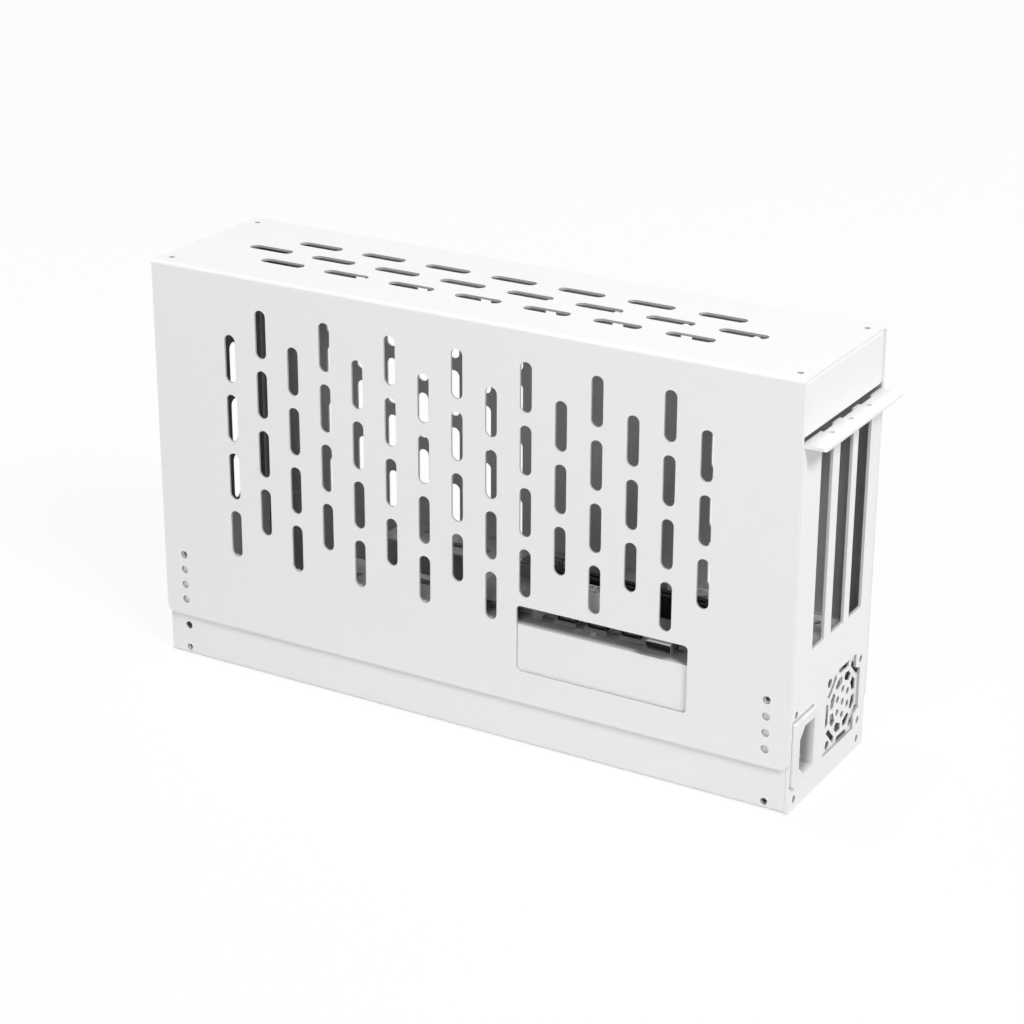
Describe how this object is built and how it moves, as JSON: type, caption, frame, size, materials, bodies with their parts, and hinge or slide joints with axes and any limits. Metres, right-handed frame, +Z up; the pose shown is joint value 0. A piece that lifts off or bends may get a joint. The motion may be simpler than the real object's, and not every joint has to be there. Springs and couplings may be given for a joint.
{
  "type": "external graphics card enclosure",
  "caption": "Slotted sheet-metal enclosure that holds a graphics card and its power supply, with a hood that lifts on a base, a bracket ledge, a cable window, a mains inlet and a fan.",
  "frame": {"origin": "centre of the hood's footprint, on the underside of the base", "axes": "+X along the length to the end with the bracket ledge and inlet, -Y to the front with the cable window, +Z up"},
  "size_m": [0.3589, 0.0888, 0.2096],
  "materials": {
    "white_paint": "semi-gloss white powder coat",
    "psu_sheet": "satin pale grey",
    "circuit_board": "pale grey solder mask",
    "supply_board": "green solder mask",
    "bright_steel": "bright plated",
    "transformer": "taped winding",
    "can_sleeve": "shrunk sleeve",
    "heat_sink": "extruded, plain",
    "fan_plastic": "moulded",
    "inlet_plastic": "moulded, fine grain",
    "black_plastic": "moulded",
    "white_plastic": "moulded",
    "choke": "pressed ferrite",
    "can_metal": "drawn can"
  },
  "bodies": {
    "base": {"base_tray": "white_paint", "right_end_wall": "white_paint", "left_end_wall": "white_paint", "shelf": "white_paint", "psu_case": "psu_sheet", "psu_lid": "psu_sheet", "psu_board": "supply_board", "psu_posts": "bright_steel", "psu_transformer": "transformer", "psu_capacitors": "can_sleeve", "psu_heat_sinks": "heat_sink", "fan_frame": "fan_plastic", "inlet_body": "inlet_plastic", "inlet_pins": "bright_steel", "dock_board": "circuit_board", "board_posts": "bright_steel", "board_screws": "bright_steel", "card_slot": "black_plastic", "link_port_shell": "bright_steel", "link_port_insert": "black_plastic", "power_socket": "white_plastic", "edge_sockets": "black_plastic", "controller_heat_sink": "heat_sink", "board_chokes": "choke", "board_capacitors": "can_metal"},
    "hood": {"hood": "white_paint", "right_end_plate": "white_paint", "left_end_plate": "white_paint"},
    "fan": {"fan_rotor": "fan_plastic"},
    "latch": {"card_slot_latch": "black_plastic"}
  },
  "joints": [
    {"name": "hood_lift", "type": "slide", "parent": "base", "child": "hood", "axis": [0, 0, 1], "range_m": [0, 0.0246]},
    {"name": "fan_spin", "type": "hinge", "parent": "base", "child": "fan", "pos_m": [0.16, 0.0194, 0.031], "axis": [1, 0, 0], "continuous": true},
    {"name": "latch_turn", "type": "hinge", "parent": "base", "child": "latch", "pos_m": [0.03485, -0.0099, 0.0717], "axis": [0, -1, 0], "range_deg": [0, 30]}
  ]
}
